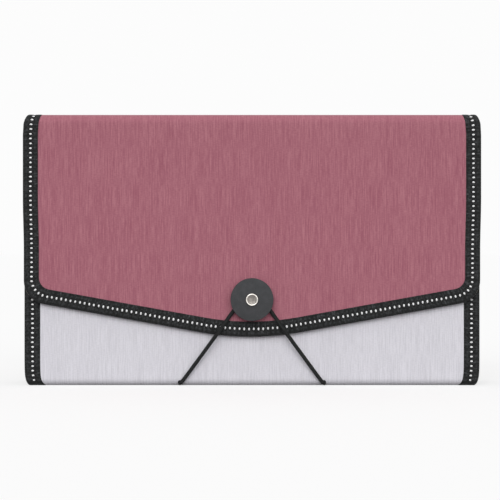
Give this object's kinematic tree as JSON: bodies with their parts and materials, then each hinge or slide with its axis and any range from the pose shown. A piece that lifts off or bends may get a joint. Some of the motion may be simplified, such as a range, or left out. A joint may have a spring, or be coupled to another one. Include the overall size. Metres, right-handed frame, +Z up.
{
  "type": "coupon organizer wallet",
  "caption": "Flat upright wallet of cloth-covered board with taped edges, a V-edged flap held by an elastic loop round a riveted disc, and a pleated pocket stack inside.",
  "frame": {"origin": "centre of the closed wallet's footprint, on the surface that it stands on", "axes": "+X across the wallet to the right seen from the front, +Y to the back, +Z up; the flap and the disc face -Y"},
  "size_m": [0.19, 0.0366, 0.1126],
  "materials": {
    "mauve_cloth": "slub weave, matt",
    "lilac_cloth": "slub weave, matt",
    "black_tape": "woven tape, matt, with white stitches",
    "grey_lining": "fine woven lining",
    "greyboard": "uncoated board",
    "charcoal_film": "matt polypropylene sheet",
    "white_label": "matt paper",
    "nickel": "nickel plated, polished",
    "disc_fibre": "matt bonded leather",
    "elastic_cord": "braided cover"
  },
  "bodies": {
    "back": {"back_board": "greyboard", "back_cloth": "mauve_cloth", "back_lining": "grey_lining", "back_binding_left": "black_tape", "back_binding_right": "black_tape", "bottom_board": "greyboard", "bottom_cloth": "lilac_cloth", "bottom_lining": "grey_lining", "bottom_binding_left": "black_tape", "bottom_binding_right": "black_tape", "back_leaf": "charcoal_film", "gusset_1": "charcoal_film"},
    "leaf_1": {"divider_1": "charcoal_film", "tab_label_1": "white_label", "gusset_2": "charcoal_film"},
    "leaf_2": {"divider_2": "charcoal_film", "tab_label_2": "white_label", "gusset_3": "charcoal_film"},
    "leaf_3": {"divider_3": "charcoal_film", "tab_label_3": "white_label", "gusset_4": "charcoal_film"},
    "leaf_4": {"divider_4": "charcoal_film", "tab_label_4": "white_label", "gusset_5": "charcoal_film"},
    "front": {"front_board": "greyboard", "front_cloth": "lilac_cloth", "front_lining": "grey_lining", "front_binding_left": "black_tape", "front_binding_right": "black_tape", "front_leaf": "charcoal_film", "elastic_knots": "elastic_cord"},
    "top": {"top_board": "greyboard", "top_cloth": "mauve_cloth", "top_lining": "grey_lining", "top_binding_left": "black_tape", "top_binding_right": "black_tape", "fold_back_cloth": "mauve_cloth", "fold_back_binding": "black_tape", "fold_front_cloth": "mauve_cloth", "fold_front_binding": "black_tape"},
    "flap": {"flap_board": "greyboard", "flap_cloth": "mauve_cloth", "flap_lining": "grey_lining", "flap_binding": "black_tape", "rivet": "nickel", "spacer": "disc_fibre", "burr": "nickel"},
    "disc": {"closure_disc": "disc_fibre"},
    "elastic": {"elastic_loop": "elastic_cord"}
  },
  "joints": [
    {"name": "flap_hinge", "type": "hinge", "parent": "back", "child": "top", "pos_m": [0, 0.01744, 0.11174], "axis": [-1, 0, 0], "range_deg": [0, 170], "deforming": ["fold_back_cloth", "fold_back_binding"]},
    {"name": "flap_fold", "type": "hinge", "parent": "top", "child": "flap", "pos_m": [0, -0.01294, 0.11174], "axis": [-1, 0, 0], "range_deg": [0, 90], "deforming": ["fold_front_cloth", "fold_front_binding"]},
    {"name": "pocket_1", "type": "hinge", "parent": "back", "child": "leaf_1", "pos_m": [0, -0.0098, 0.0012], "axis": [1, 0, 0], "range_deg": [0, 3.3], "deforming": ["gusset_1"]},
    {"name": "pocket_2", "type": "hinge", "parent": "leaf_1", "child": "leaf_2", "pos_m": [0, -0.0098, 0.0012], "axis": [1, 0, 0], "range_deg": [0, 3.3], "deforming": ["gusset_2"]},
    {"name": "pocket_3", "type": "hinge", "parent": "leaf_2", "child": "leaf_3", "pos_m": [0, -0.0098, 0.0012], "axis": [1, 0, 0], "range_deg": [0, 3.3], "deforming": ["gusset_3"]},
    {"name": "pocket_4", "type": "hinge", "parent": "leaf_3", "child": "leaf_4", "pos_m": [0, -0.0098, 0.0012], "axis": [1, 0, 0], "range_deg": [0, 3.3], "deforming": ["gusset_4"]},
    {"name": "pocket_5", "type": "hinge", "parent": "leaf_4", "child": "front", "pos_m": [0, -0.0098, 0.0012], "axis": [1, 0, 0], "range_deg": [0, 3.3], "deforming": ["gusset_5"]},
    {"name": "disc_spin", "type": "hinge", "parent": "flap", "child": "disc", "pos_m": [0, -0.0167, 0.0359], "axis": [0, -1, 0], "continuous": true},
    {"name": "elastic_swing", "type": "hinge", "parent": "front", "child": "elastic", "pos_m": [0, -0.0098, 0.0012], "axis": [1, 0, 0], "range_deg": [0, 55], "deforming": ["elastic_loop"]}
  ],
  "couplings": [
    {"joint": "flap_fold", "follows": "flap_hinge", "ratio": 0.52941},
    {"joint": "pocket_1", "follows": "flap_hinge", "ratio": 0.019412},
    {"joint": "pocket_2", "follows": "flap_hinge", "ratio": 0.019412},
    {"joint": "pocket_3", "follows": "flap_hinge", "ratio": 0.019412},
    {"joint": "pocket_4", "follows": "flap_hinge", "ratio": 0.019412},
    {"joint": "pocket_5", "follows": "flap_hinge", "ratio": 0.019412}
  ]
}
